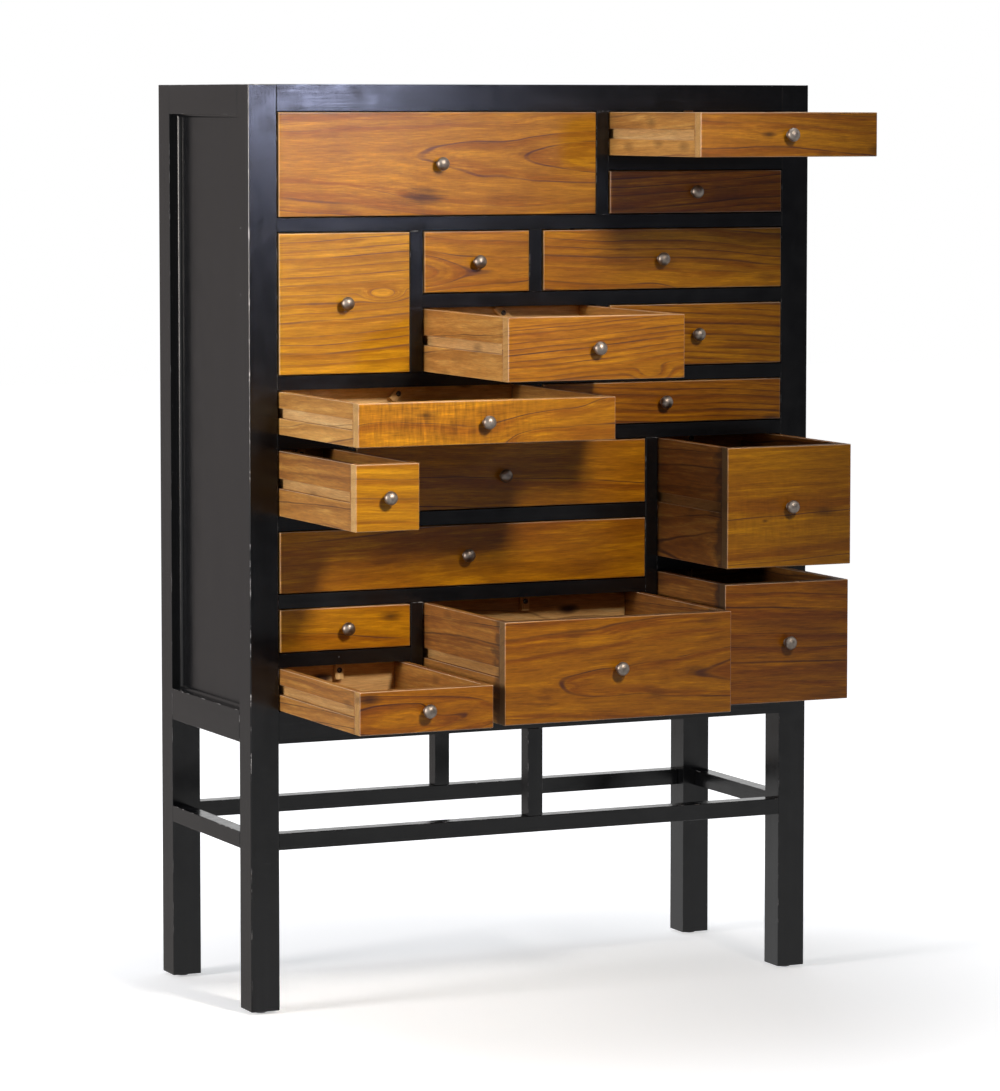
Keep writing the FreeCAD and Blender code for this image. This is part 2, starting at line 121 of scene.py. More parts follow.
def black_lacquer(name, turn):
    """Satin black lacquer on hardwood. Its grain telegraphs as faint streaks along the bar, the
    sheen is broad and cool, and the bare wood shows in short nicks along the arrises. A painted
    highlight in the same pale grey runs along an arris marked for it."""
    material, tree = blank_material(name)
    place = add_node(tree, "TexCoord").outputs["Object"]
    lying = add_node(tree, "Mapping", {"Vector": place, "Rotation": turn}).outputs["Vector"]
    # Pores 1.6 mm wide and 50 mm long, drawn twice as coarse as they are so that they show
    pores = drawn_out(tree, lying, (20, 620, 620), 3.0, 0.6)
    # The spray and the sanding left streaks 8 mm wide and 400 mm long
    streaks = drawn_out(tree, lying, (2.5, 120, 120), 2.0)
    tint = add_node(tree, "ValToRGB", {"Fac": streaks},
                    stops=[(0.3, "0a0b0d"), (0.55, "0e0f12"), (0.8, "161719")])
    # Small chips come off in patches some 20 mm across
    chips = add_node(tree, "TexNoise", {"Vector": place, "Scale": 46.0, "Detail": 4.0,
                                        "Roughness": 0.65}).outputs["Fac"]
    chipped = add_node(tree, "MapRange", {"Value": chips, "From Min": 0.54, "From Max": 0.66})
    wear_and_glint = add_node(tree, "Attribute", attribute_name="wear_and_glint").outputs["Fac"]
    # An arris marked 1 is bare in the chips, and one marked 2 carries a painted highlight all
    # along
    along = add_node(tree, "Math", {0: wear_and_glint, 1: 1.0}, operation="SUBTRACT")
    nicks_and_glint = add_node(tree, "Math", {0: along.outputs[0], 1: chipped.outputs[0]},
                    operation="MAXIMUM")
    bare_and_glint = add_node(tree, "Math", {0: wear_and_glint, 1: nicks_and_glint.outputs[0]}, operation="MULTIPLY",
                    use_clamp=True)
    # A few specks of dust, 2 mm across, stick to it
    dust = add_node(tree, "TexVoronoi", {"Vector": place, "Scale": 30.0})
    near = add_node(tree, "MapRange", {"Value": dust.outputs["Distance"], "From Min": 0.045,
                                       "From Max": 0.02, "To Max": 0.4})
    speck = add_node(tree, "Math", {0: near.outputs[0], 1: chipped.outputs[0]},
                     operation="MULTIPLY")
    # The pale grey is bare wood in the nicks, dust, and the painted highlight
    pale_marks_and_glint = add_node(tree, "Math", {0: bare_and_glint.outputs[0], 1: speck.outputs[0]}, operation="MAXIMUM")
    colour = add_node(tree, "Mix", {0: pale_marks_and_glint.outputs[0], 6: tint.outputs["Color"],
                                    7: linear("cfd0d4")}, data_type="RGBA")
    # The lacquer dried in clouds 30 mm across, some duller than others
    clouds = add_node(tree, "TexNoise", {"Vector": place, "Scale": 34.0, "Detail": 3.0,
                                         "Roughness": 0.6}).outputs["Fac"]
    sheen = add_node(tree, "Math", {0: pores, 1: 0.5, 2: clouds}, operation="MULTIPLY_ADD")
    gloss = add_node(tree, "MapRange", {"Value": sheen.outputs[0], "From Min": 0.55,
                                        "From Max": 0.95, "To Min": 0.16, "To Max": 0.268})
    relief = add_node(tree, "Math", {0: pores, 1: 0.5, 2: streaks}, operation="MULTIPLY_ADD")
    give_surface(tree, colour.outputs[2], gloss.outputs[0], relief.outputs[0], 0.33, 0.3 * MM,
                 IOR=1.44)
    return material


# One for the bars that lie across the chest, one for those front to back, one for the uprights
LACQUER = [
    black_lacquer("satin_black_lacquer_across", (0, 0, 0)),
    black_lacquer("satin_black_lacquer_deep", (0, 0, math.radians(-90))),
    black_lacquer("satin_black_lacquer_upright", (0, math.radians(90), 0)),
]


def ease(bm, arris, steps=2):
    """Rounds every outward arris."""
    edges = [edge for edge in bm.edges if len(edge.link_faces) == 2 and edge.is_convex
             and edge.calc_face_angle() > SHARP]
    bmesh.ops.bevel(bm, geom=edges, offset=arris, offset_type="OFFSET", segments=steps,
                    profile=0.5, affect="EDGES", material=-1, clamp_overlap=True)


def mark_wear_and_glint(bm):
    """Marks the crown of each rounded arris, where hands and cloths rub and where a painted
    highlight stands in for the glint of the light from above: a top one, whose crown looks up by
    half a right angle, with 1, and an upright or a lower one with 0.4."""
    wear_and_glint = bm.verts.layers.float.get("wear_and_glint") or bm.verts.layers.float.new("wear_and_glint")
    bm.normal_update()
    for vert in bm.verts:
        crown = all(max(map(abs, face.normal)) < 0.95 for face in vert.link_faces)
        vert[wear_and_glint] = crown * (0.4 + 0.6 * max(0.0, vert.normal.z) / 0.71)


def solids(bm):
    """The faces of each separate solid."""
    left = set(bm.faces)
    while left:
        found = []
        reached = [left.pop()]
        while reached:
            face = reached.pop()
            found.append(face)
            for edge in face.edges:
                for other in edge.link_faces:
                    if other in left:
                        left.remove(other)
                        reached.append(other)
        yield found


def set_down(name, bm, materials, body, slot, *nodes):
    """Makes the finished piece of a mesh, and puts it in the place of CAD nodes."""
    mesh = bpy.data.meshes.new(name)
    bm.to_mesh(mesh)
    bm.free()
    for material in materials:
        mesh.materials.append(material)
    piece = bpy.data.objects.new(name, mesh)
    bpy.context.scene.collection.objects.link(piece)
    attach(piece, body)
    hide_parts(*nodes)


def planed(node, arris):
    """A copy of a CAD node's bars with their arrises eased, each with its grain lengthwise."""
    bm = bmesh.new()
    bm.from_mesh(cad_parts[node].data)
    bmesh.ops.remove_doubles(bm, verts=bm.verts, dist=WELD)
    bmesh.ops.dissolve_limit(bm, angle_limit=math.radians(1), verts=bm.verts, edges=bm.edges)
    ease(bm, arris)
    mark_wear_and_glint(bm)
    for faces in solids(bm):
        corners = [vert.co for face in faces for vert in face.verts]
        size = [max(co[axis] for co in corners) - min(co[axis] for co in corners)
                for axis in range(3)]
        for face in faces:
            face.material_index = size.index(max(size))
    return bm


for node in CASE_NODES:
    bm = planed(node, GLINT_ARRIS if node == GLINT_NODE else CASE_ARRIS)
    # The outer arris of the front left leg carries a painted highlight, strongest at the top and
    # fading to nothing at the floor, standing in for the glint of the lamps
    if node == GLINT_NODE:
        corner, far_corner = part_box(node)
        wear_and_glint = bm.verts.layers.float["wear_and_glint"]
        for vert in bm.verts:
            if (vert.co.xy - corner.xy).length < 0.9 * GLINT_ARRIS:
                vert[wear_and_glint] = 2.0 * vert.co.z / far_corner.z
    set_down(node + "_lacquered", bm, LACQUER, "case", "black_lacquered_wood", node)

# ---------------------------------------------------------------- bead strips
# Quarter-round strips pinned into the corners between each side panel and its frame. They were
# sprayed with the case, so they have its lacquer and their shape is the CAD one.

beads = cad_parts["side_panel_beads"]
beads.data.materials.clear()
beads.data.materials.append(LACQUER[2])

# ---------------------------------------------------------------- inside of the case
# Plywood back and floor, dust panels, partitions and hardwood runners. Their near-black is partly
# a black stain and partly painted shade for the dark inside of the case; they are matt and their
# pores stay open.

DARK_INSIDE_ARRIS = 0.4 * MM
DARK_INSIDE_NODES = ["back_panel", "bottom_panel", "dust_panels", "partitions", "drawer_runners"]


def black_stain_and_shade(name):
    """Near-black plywood, partly a black water stain and partly painted shade: matt and slightly
    uneven, with open pores 2 mm wide.
    """
    material, tree = blank_material(name)
    place = add_node(tree, "TexCoord").outputs["Object"]
    pores = drawn_out(tree, place, (30, 460, 460), 3.0)
    # It took unevenly, in blots 110 mm across
    blots = add_node(tree, "TexNoise", {"Vector": place, "Scale": 9.0, "Detail": 3.0})
    depth = add_node(tree, "Math", {0: pores, 1: blots.outputs["Fac"]}, operation="MULTIPLY")
    colour = add_node(tree, "ValToRGB", {"Fac": depth.outputs[0]},
                      stops=[(0.1, "100f0e"), (0.3, "1c1a19"), (0.5, "2c2826")])
    gloss = add_node(tree, "MapRange", {"Value": pores, "To Min": 0.62, "To Max": 0.85})
    give_surface(tree, colour.outputs["Color"], gloss.outputs[0], pores, 0.5, 0.3 * MM)
    return material


STAIN_AND_SHADE = black_stain_and_shade("black_stain_and_shade_plywood")
for node in DARK_INSIDE_NODES:
    set_down(node + "_stain_and_shade", planed(node, DARK_INSIDE_ARRIS), [STAIN_AND_SHADE] * 3, "case",
             "black_lacquered_wood", node)

# ---------------------------------------------------------------- floor glides
# Moulded black nylon pads, 18 mm across, fixed under the foot of each leg. Grit from the floor
# has scuffed and dulled them.

GLIDE_RADIUS = 9 * MM
GLIDE_ARRIS = 0.8 * MM


def nylon(name):
    """Moulded black nylon: softly mottled, with scuffs 1 mm wide."""
    material, tree = blank_material(name)
    place = add_node(tree, "TexCoord").outputs["Object"]
    scuffs = add_node(tree, "TexNoise", {"Vector": place, "Scale": 900.0,
                                         "Detail": 3.0}).outputs["Fac"]
    colour = add_node(tree, "ValToRGB", {"Fac": scuffs},
                      stops=[(0.35, "161616"), (0.6, "242423"), (0.8, "3d3a36")])
    gloss = add_node(tree, "MapRange", {"Value": scuffs, "To Min": 0.4, "To Max": 0.75})
    give_surface(tree, colour.outputs["Color"], gloss.outputs[0], scuffs, 0.3, 0.1 * MM, IOR=1.53)
    return material


low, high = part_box("floor_glides")
height = high.z - low.z
bm = bmesh.new()
for x in (low.x + GLIDE_RADIUS, high.x - GLIDE_RADIUS):
    for y in (low.y + GLIDE_RADIUS, high.y - GLIDE_RADIUS):
        bmesh.ops.create_cone(bm, cap_ends=True, segments=40, radius1=GLIDE_RADIUS,
                              radius2=GLIDE_RADIUS, depth=height,
                              matrix=Matrix.Translation((x, y, (low.z + high.z) / 2)))
ease(bm, GLIDE_ARRIS, 3)
set_down("glides_moulded", bm, [nylon("moulded_black_nylon")], "case", "glide_plastic",
         "floor_glides")

# ---------------------------------------------------------------- drawers
# Each is a solid plain-sawn front, two sides with a stopped groove for the runner, a back and a
# thin floor, rebated and glued, and a turn-button screwed inside its back. The face is stained
# honey and varnished; the rest is only oiled, and stain has crept round onto the sides.

FRONT_BOARD = 18 * MM
FACE_ARRIS = 2 * MM
BOARD_ARRIS = 0.8 * MM
SIDE_BOARD = 11 * MM
RUNNER_GROOVE = 14.4 * MM
RUNNER_GROOVE_DEPTH = 6 * MM
RUNNER_GROOVE_STOP = 4 * MM
FLOOR_BOARD = 5 * MM
FLOOR_LIFT = 8 * MM
BUTTON_WIDTH = 13 * MM
BUTTON_THICKNESS = 8 * MM
BUTTON_LENGTH = 28 * MM
BUTTON_ARRIS = 1.2 * MM
BUTTON_DROP = 9 * MM        # from the top of the boards to its screw
BUTTON_RISE = 5 * MM        # an upright one's end above the boards
BUTTON_PLAY = 0.3 * MM      # behind it, and under its screw's head
BUTTON_SHANK = 14           # of its screw, mm
LOOSE_BUTTONS = {7: -45, 10: 45}    # degrees
FACE, OILED, BARE, END, STEEL = range(5)

# How each front was sawn: where its middle lay from the pith, along, across and out (mm), and the
# way its arches open; how deep the stain went in, a tone that also holds painted light and shade,
# deeper on fronts lit less and lightest at the top left; and the rings' spacing (mm), their
# waviness, ripple and pin knots
FRONTS = {
    1: ((32, -12, 30), -1, 0.36, (18, 1.0, 0.1, 0.2)),
    2: ((0, 60, 40), 1, 0.48, (22, 0.8, 0.1, 0.6)),
    3: ((0, -90, 30), 1, 0.80, (14, 0.3, 0.0, 0.2)),
    4: ((0, 120, 30), -1, 0.18, (13, 0.45, 0.0, 0.2)),
    5: ((0, 15, 26), 1, 0.40, (13, 0.6, 0.0, 0.2)),
    6: ((0, 60, 30), 1, 0.42, (14, 0.5, 0.1, 0.3)),
    7: ((0, 110, 30), -1, 0.45, (8, 0.4, 0.0, 0.2)),
    8: ((0, -80, 40), -1, 0.47, (9, 0.4, 0.0, 0.3)),
    9: ((0, 90, 30), 1, 0.60, (9, 0.4, 0.0, 0.8)),
    10: ((0, 50, 60), -1, 0.43, (34, 1.3, 1.1, 0.1)),
    11: ((0, 140, 20), 1, 0.30, (30, 0.3, 0.0, 0.0)),
    12: ((0, 100, 60), 1, 0.55, (50, 0.5, 0.1, 0.1)),
    13: ((0, -120, 40), 1, 0.44, (90, 0.3, 0.3, 0.6)),
    14: ((0, 60, 90), -1, 0.47, (90, 0.3, 0.1, 0.1)),
    15: ((0, 150, 30), 1, 0.75, (26, 0.4, 0.0, 0.1)),
    16: ((0, 40, 50), 1, 0.40, (26, 0.7, 0.1, 1.0)),
    17: ((309, 14, 34), -1, 0.60, (20, 0.8, 0.1, 0.3)),
    18: ((0, 10, 30), 1, 0.65, (15, 0.8, 0.1, 0.6)),
}
PLAIN_FIGURE = (26, 0.5, 0.1, 0.5)
BACK_FIGURE = (14, 1.2, 0.1, 1.5)
# Where a branch swelled the rings, right and up from the middle (mm), how far along and across it
# did (mm), and by how much (mm)
SWELLINGS = {
    1: (-60, 5, 170, 75, 12),
    2: (-35, 0, 60, 20, 8),
    4: (60, 12, 50, 17, 25),
    5: (-90, -15, 80, 40, -14),
    6: (60, -35, 90, 30, 8),
    7: (90, -45, 60, 30, 16),
    10: (70, -25, 80, 30, -9),
    18: (20, 0, 50, 20, 9),
}
NO_SWELLING = (0, 0, 60, 20, 0)
# The one big knot or smudge of a front, right and up from the middle, and its half height (mm)
KNOTS = {1: (-25, -46, 16), 2: (-34, 0, 6), 10: (-95, 12, 8), 13: (-40, -20, 3),
         16: (70, 14, 9), 18: (-88, 20, 9)}
NO_KNOT = (0, 900, 1)
# How deep the oil went into the sides and the inside of each drawer, and how much glue and stain
# ran out of the joints of its front. Where much did, it spread twice as far down the sides
OILED_TONES = {7: 0.30, 10: 0.2, 11: 0.6, 13: 0.95, 15: 0.9, 17: 0.8, 18: 0.65}
USUAL_OILED_TONE = 0.24
BUTTON_TONE = 0.1
GLUED = {13: 0.9, 15: 1.0, 17: 0.8}
USUAL_GLUED = 0.15
STAIN_CREEP = 0.2           # added to the tone of a side above its groove
SEED_STEP = 3.7             # from one drawer's patterns to the next one's
# The wood itself: how far a trunk wanders and its bark is lumpy, and how fast it narrows
WANDER = 60 * MM
LUMP = 7 * MM
TAPER = 1 / 20


def plank(low, high, arris=0, steps=2):
    """A board between two corners, with its arrises eased."""
    low, high = Vector(low), Vector(high)
    bm = bmesh.new()
    bmesh.ops.create_cube(bm, size=1.0, matrix=Matrix.Translation((low + high) / 2)
                          @ Matrix.Diagonal((*(high - low), 1.0)))
    if arris:
        ease(bm, arris, steps)
    return bm


def lay_grain(bm, axes, pith, seed, tone, way=1, figure=PLAIN_FIGURE, swelling=NO_SWELLING,
              knot=NO_KNOT):
    """Writes where each point of a board lay in its log, and the board's own nature. The axes run
    along, across and out of the board, whose middle lay as far from the pith (mm)."""
    spacing, *figure = figure
    right, up, long, wide, swell = swelling
    knot_right, knot_up, knot_size = knot
    layers = bm.verts.layers.float_vector
    log = layers.new("log")
    nature = [
        (layers.new("board"), (seed, tone, spacing * MM)),
        (layers.new("figure"), figure),
        (layers.new("swelling"), ((way * right + pith[0]) * MM, (up + pith[1]) * MM, swell * MM)),
        (layers.new("reach"), (1 / long / MM, 1 / wide / MM, 0)),
        (layers.new("knot"), ((way * knot_right + pith[0]) * MM, (knot_up + pith[1]) * MM,
                              knot_size * MM)),
    ]
    corners = [vert.co for vert in bm.verts]
    middle = [(max(co[axis] for co in corners) + min(co[axis] for co in corners)) / 2
              for axis in range(3)]
    for vert in bm.verts:
        along, across, out = [vert.co[axis] - middle[axis] for axis in axes]
        vert[log] = (way * along + pith[0] * MM, across + pith[1] * MM, out + pith[2] * MM)
        for layer, value in nature:
            vert[layer] = value
    mark_wear_and_glint(bm)


def mark_joint(bm, joint_y, spread, glued):
    """Writes how far each point is behind the joint of front and side, and how much glue ran."""
    joint = bm.verts.layers.float_vector.new("joint")
    for vert in bm.verts:
        vert[joint] = ((vert.co.y - joint_y) / spread, glued, 0)


def give_finish(bm, finish):
    """Gives a whole mesh one of its piece's materials."""
    for face in bm.faces:
        face.material_index = finish


def add_board(drawer_mesh, bm):
    """Puts a finished board with the rest of its drawer."""
    mesh = bpy.data.meshes.new("board")
    bm.to_mesh(mesh)
    bm.free()
    drawer_mesh.from_mesh(mesh)
    bpy.data.meshes.remove(mesh)


def sawn_front(low, high):
    """A front board with the wide roundover of its face."""
    bm = plank(low, high)
    face_edges = [edge for edge in bm.edges if all(vert.co.y < low[1] + MM for vert in edge.verts)]
    bmesh.ops.bevel(bm, geom=face_edges, offset=FACE_ARRIS, offset_type="OFFSET", segments=4,
                    profile=0.5, affect="EDGES", material=-1, clamp_overlap=True)
    ease(bm, BOARD_ARRIS)
    for face in bm.faces:
        end = END if abs(face.normal.x) > 0.5 else OILED
        face.material_index = FACE if face.normal.y < -0.2 else end
    return bm


def grooved_side(low, high, outer):
    """A side with its runner groove in the face at x = outer, open at the back."""
    bm = plank(low, high)
    inwards = 1 if outer < (low[0] + high[0]) / 2 else -1
    middle = (low[2] + high[2]) / 2
    floor = outer + inwards * RUNNER_GROOVE_DEPTH
    stop = low[1] + RUNNER_GROOVE_STOP
    cuts = [((0, 0, middle - RUNNER_GROOVE / 2), (0, 0, 1)),
            ((0, 0, middle + RUNNER_GROOVE / 2), (0, 0, 1)),
            ((0, stop, 0), (0, 1, 0)),
            ((floor, 0, 0), (1, 0, 0))]
    for point, normal in cuts:
        bmesh.ops.bisect_plane(bm, geom=bm.verts[:] + bm.edges[:] + bm.faces[:], dist=1e-7,
                               plane_co=point, plane_no=normal)

    def in_groove(face):
        centre = face.calc_center_median()
        return (abs(centre.z - middle) < RUNNER_GROOVE / 2 and centre.y > stop
                and abs(centre.x - outer) < RUNNER_GROOVE_DEPTH)

    # The mouth of the groove is pushed in to its floor, and its open end loses both its lids
    mouth = [face for face in bm.faces if in_groove(face) and abs(face.normal.x) > 0.9]
    end = [face for face in bm.faces if in_groove(face) and face.normal.y > 0.9]
    pushed = bmesh.ops.extrude_face_region(bm, geom=mouth)["geom"]
    bmesh.ops.translate(bm, vec=(floor - outer, 0, 0),
                        verts=[part for part in pushed if isinstance(part, bmesh.types.BMVert)])
    bmesh.ops.delete(bm, geom=mouth + end, context="FACES")
    bmesh.ops.remove_doubles(bm, verts=bm.verts, dist=WELD)
    lids = [face for face in bm.faces if in_groove(face) and abs(face.normal.y) > 0.9
            and abs(face.calc_center_median().y - high[1]) < 0.1 * MM]
    bmesh.ops.delete(bm, geom=lids, context="FACES")
    bmesh.ops.recalc_face_normals(bm, faces=bm.faces)
    for face in bm.faces:
        face.material_index = BARE if in_groove(face) else OILED
    # The other cuts that the groove needed are healed
    flat = [edge for edge in bm.edges if edge.calc_face_angle(0) < 0.01
            and len({face.material_index for face in edge.link_faces}) == 1]
    bmesh.ops.dissolve_edges(bm, edges=flat, use_verts=True)
    ease(bm, BOARD_ARRIS)
    return bm


def turned(outline, steps):
    """A turned shape: an outline of radii and heights (mm), spun about the upright axis."""
    bm = bmesh.new()
    points = [bm.verts.new((radius * MM, 0, height * MM)) for radius, height in outline]
    edges = [bm.edges.new(pair) for pair in zip(points, points[1:])]
    bmesh.ops.spin(bm, geom=points + edges, cent=(0, 0, 0), axis=(0, 0, 1), steps=steps,
                   angle=math.tau, use_merge=True)
    bmesh.ops.remove_doubles(bm, verts=bm.verts, dist=WELD)
    bmesh.ops.holes_fill(bm, edges=[edge for edge in bm.edges if edge.is_boundary])
    bmesh.ops.recalc_face_normals(bm, faces=bm.faces)
    return bm


def screw(x, y, z, way, shank):
    """A pan-head screw with a recess, its head's seat at y and its shank (mm) towards way."""
    recess = [(0.0, 0.6), (1.0, 0.8), (1.5, 2.1)]
    head = [(2.4, 2.0), (3.5, 1.4), (4.0, 0.5), (4.0, 0.0)]
    bm = turned(recess + head + [(2.0, 0.0), (2.0, 1.5 - shank), (0.0, -shank)], 20)
    bmesh.ops.transform(bm, verts=bm.verts, matrix=Matrix.Translation((x, y, z))
                        @ Matrix.Rotation(math.radians(90 * way), 4, "X"))
    give_finish(bm, STEEL)
    return bm


def plain_sawn(name, early, warm, brown, late, flecks, varnished):
    """Plain-sawn hardwood. Each year's ring ends in a thin mauve-brown line, which the flat cut
    spreads into waves and arches; streaks, gold flecks and a few pin knots lie between."""
    material, tree = blank_material(name)
    # What is written on the mesh for each point of the board
    log, board, figure, swelling, reach, big_knot = [
        add_node(tree, "Attribute", attribute_name=layer).outputs["Vector"]
        for layer in ("log", "board", "figure", "swelling", "reach", "knot")]
    along, across, out = add_node(tree, "SeparateXYZ", {"Vector": log}).outputs
    seed, tone, spacing = add_node(tree, "SeparateXYZ", {"Vector": board}).outputs
    waviness, rippling, pinning = add_node(tree, "SeparateXYZ", {"Vector": figure}).outputs
    # The trunk wandered every 250 mm or so, and its bark was lumpy every 70 mm
    bark = drawn_out(tree, log, (14, 36, 36), 1.0, seed=seed)
    lumps = add_node(tree, "Math", {0: bark, 1: LUMP, 2: -(LUMP + WANDER) / 2},
                     operation="MULTIPLY_ADD")
    trunk = drawn_out(tree, log, (4, 9, 9), 1.0, seed=seed)
    wander = add_node(tree, "Math", {0: trunk, 1: WANDER, 2: lumps.outputs[0]},
                      operation="MULTIPLY_ADD")
    # A branch swelled the rings round it
    beside = add_node(tree, "VectorMath", {0: log, 1: swelling}, operation="SUBTRACT")
    inside = add_node(tree, "VectorMath", {0: beside.outputs[0], 1: reach}, operation="MULTIPLY")
    from_branch = add_node(tree, "VectorMath", {0: inside.outputs[0]}, operation="LENGTH")
    hump = add_node(tree, "MapRange", {"Value": from_branch.outputs["Value"], "To Min": 1.0,
                                       "To Max": 0.0}, interpolation_type="SMOOTHERSTEP")
    swell = add_node(tree, "SeparateXYZ", {"Vector": swelling}).outputs["Z"]
    # The trunk tapers, which is what closes the arches
    section = add_node(tree, "CombineXYZ", {"Y": across, "Z": out})
    layer = add_node(tree, "VectorMath", {0: section.outputs[0]},
                     operation="LENGTH").outputs["Value"]
    for value, weight in ((along, TAPER), (wander.outputs[0], waviness),
                          (hump.outputs[0], swell)):
        layer = add_node(tree, "Math", {0: value, 1: weight, 2: layer},
                         operation="MULTIPLY_ADD").outputs[0]
    rings = add_node(tree, "Math", {0: layer, 1: spacing}, operation="DIVIDE").outputs[0]
    uneven = add_node(tree, "TexNoise", {"W": rings, "Scale": 0.7, "Detail": 0.0},
                      noise_dimensions="1D").outputs["Fac"]
    years = add_node(tree, "Math", {0: rings, 1: uneven}, operation="ADD").outputs[0]
    season = add_node(tree, "Math", {0: years}, operation="FRACT").outputs[0]
    body = add_node(tree, "ValToRGB", {"Fac": season}, stops=[
        (0.0, early), (0.45, early), (0.9, warm), (1.0, early)])
    # Patches 10 mm wide and 120 mm long, and streaks 4 mm wide and 200 mm long, follow the rings
    follow = add_node(tree, "CombineXYZ", {"X": along, "Y": layer, "Z": across}).outputs[0]
    patches = drawn_out(tree, follow, (8, 95, 60), 3.0, 0.6, seed)
    streaks = drawn_out(tree, follow, (5, 230, 120), 5.0, 0.72, seed)
    variety = add_node(tree, "Math", {0: patches, 1: streaks}, operation="ADD").outputs[0]
    gold = add_node(tree, "MapRange", {"Value": variety, "From Min": 1.0, "From Max": 1.25,
                                       "To Max": 0.85})
    flecked = add_node(tree, "Mix", {0: gold.outputs[0], 6: body.outputs["Color"],
                                     7: linear(flecks)}, data_type="RGBA")
    dark = add_node(tree, "MapRange", {"Value": variety, "From Min": 0.96, "From Max": 0.7,
                                       "To Max": 0.5})
    streaked = add_node(tree, "Mix", {0: dark.outputs[0], 6: flecked.outputs[2],
                                      7: linear(brown)}, data_type="RGBA")
    # The dense wood that ends a ring is a soft line 1.5 mm wide. It comes and goes, and some
    # years are faint all along
    nearest = add_node(tree, "Math", {0: years, 1: 0.5}, operation="PINGPONG").outputs[0]
    aside = add_node(tree, "Math", {0: nearest, 1: spacing}, operation="MULTIPLY").outputs[0]
    line = add_node(tree, "MapRange", {"Value": aside, "From Min": 0.2 * MM, "From Max": 1.2 * MM,
                                       "To Min": 1.0, "To Max": 0.0},
                    interpolation_type="SMOOTHSTEP").outputs[0]
    lengths = drawn_out(tree, log, (9, 60, 60), 2.0, seed=seed)
    comes = add_node(tree, "MapRange", {"Value": lengths, "From Min": 0.35, "From Max": 0.55,
                                        "To Min": 0.25}).outputs[0]
    year = add_node(tree, "Math", {0: years}, operation="ROUND").outputs[0]
    faint = add_node(tree, "TexWhiteNoise", {"W": year}, noise_dimensions="1D").outputs["Value"]
    strength = add_node(tree, "MapRange", {"Value": faint, "To Min": 0.45, "To Max": 1.0})
    present = add_node(tree, "Math", {0: comes, 1: strength.outputs[0]}, operation="MULTIPLY",
                       use_clamp=True)
    dense = add_node(tree, "Math", {0: line, 1: present.outputs[0]}, operation="MULTIPLY")
    lined = add_node(tree, "Mix", {0: dense.outputs[0], 6: streaked.outputs[2],
                                   7: linear(late)}, data_type="RGBA")
    # Pin knots up to 10 mm across, one to every 50 mm of width or so, and the board's big knot
    pin_place = add_node(tree, "VectorMath", {0: log, 1: (9, 20, 20), 2: seed},
                         operation="MULTIPLY_ADD")
    pins = add_node(tree, "TexVoronoi", {"Vector": pin_place.outputs[0], "Scale": 1.0})
    pin = add_node(tree, "MapRange", {"Value": pins.outputs["Distance"], "From Min": 0.2,
                                      "From Max": 0.07, "To Max": 0.8})
    pinned = add_node(tree, "Math", {0: pin.outputs[0], 1: pinning}, operation="MULTIPLY")
    at_knot = add_node(tree, "VectorMath", {0: log, 1: big_knot}, operation="SUBTRACT")
    flat = add_node(tree, "VectorMath", {0: at_knot.outputs[0], 1: (0.4, 1, 0)},
                    operation="MULTIPLY")
    from_knot = add_node(tree, "VectorMath", {0: flat.outputs[0]},
                         operation="LENGTH").outputs["Value"]
    knot_size = add_node(tree, "SeparateXYZ", {"Vector": big_knot}).outputs["Z"]
    ragged = add_node(tree, "Math", {0: from_knot, 1: knot_size}, operation="DIVIDE")
    frayed = add_node(tree, "Math", {0: streaks, 1: 1.6, 2: ragged.outputs[0]},
                      operation="MULTIPLY_ADD")
    big = add_node(tree, "MapRange", {"Value": frayed.outputs[0], "From Min": 1.8,
                                      "From Max": 0.9, "To Max": 0.75})
    knot = add_node(tree, "Math", {0: pinned.outputs[0], 1: big.outputs[0]}, operation="MAXIMUM")
    knotted = add_node(tree, "Mix", {0: knot.outputs[0], 6: lined.outputs[2],
                                     7: linear("4f3018")}, data_type="RGBA")
    # Fibres 1.5 mm wide, and the ripple round the knot of some boards, 7 mm from crest to crest
    fibres = drawn_out(tree, log, (50, 700, 700), 3.0, 0.75, seed)
    grained = add_node(tree, "MapRange", {"Value": fibres, "From Min": 0.3, "From Max": 0.7,
                                          "To Min": 0.78, "To Max": 1.18})
    waves = drawn_out(tree, log, (240, 44, 9), 1.0, seed=seed)
    crests = add_node(tree, "Math", {0: waves, 1: 0.5}, operation="SUBTRACT")
    around = add_node(tree, "MapRange", {"Value": from_knot, "From Min": 90 * MM,
                                         "From Max": 20 * MM})
    rises = add_node(tree, "Math", {0: around.outputs[0], 1: rippling}, operation="MULTIPLY")
    ripple = add_node(tree, "Math", {0: crests.outputs[0], 1: rises.outputs[0],
                                     2: grained.outputs[0]}, operation="MULTIPLY_ADD")
    rippled = add_node(tree, "VectorMath", {0: knotted.outputs[2], 1: ripple.outputs[0]},
                       operation="MULTIPLY")
    # Stain soaks in, so the deeper it went the darker and redder the wood is; on the fronts the
    # tone also holds painted light and shade. Oil goes less deep and dulls it
    depth = add_node(tree, "Math", {0: tone, 1: 1.0 if varnished else 0.6, 2: 1.0},
                     operation="MULTIPLY_ADD")
    soaked = add_node(tree, "Gamma", {"Color": rippled.outputs[0],
                                      "Gamma": depth.outputs[0]}).outputs[0]
    if not varnished:
        dull = add_node(tree, "MapRange", {"Value": tone, "To Min": 1.0, "To Max": 0.68})
        soaked = add_node(tree, "VectorMath", {0: soaked, 1: dull.outputs[0]},
                          operation="MULTIPLY").outputs[0]
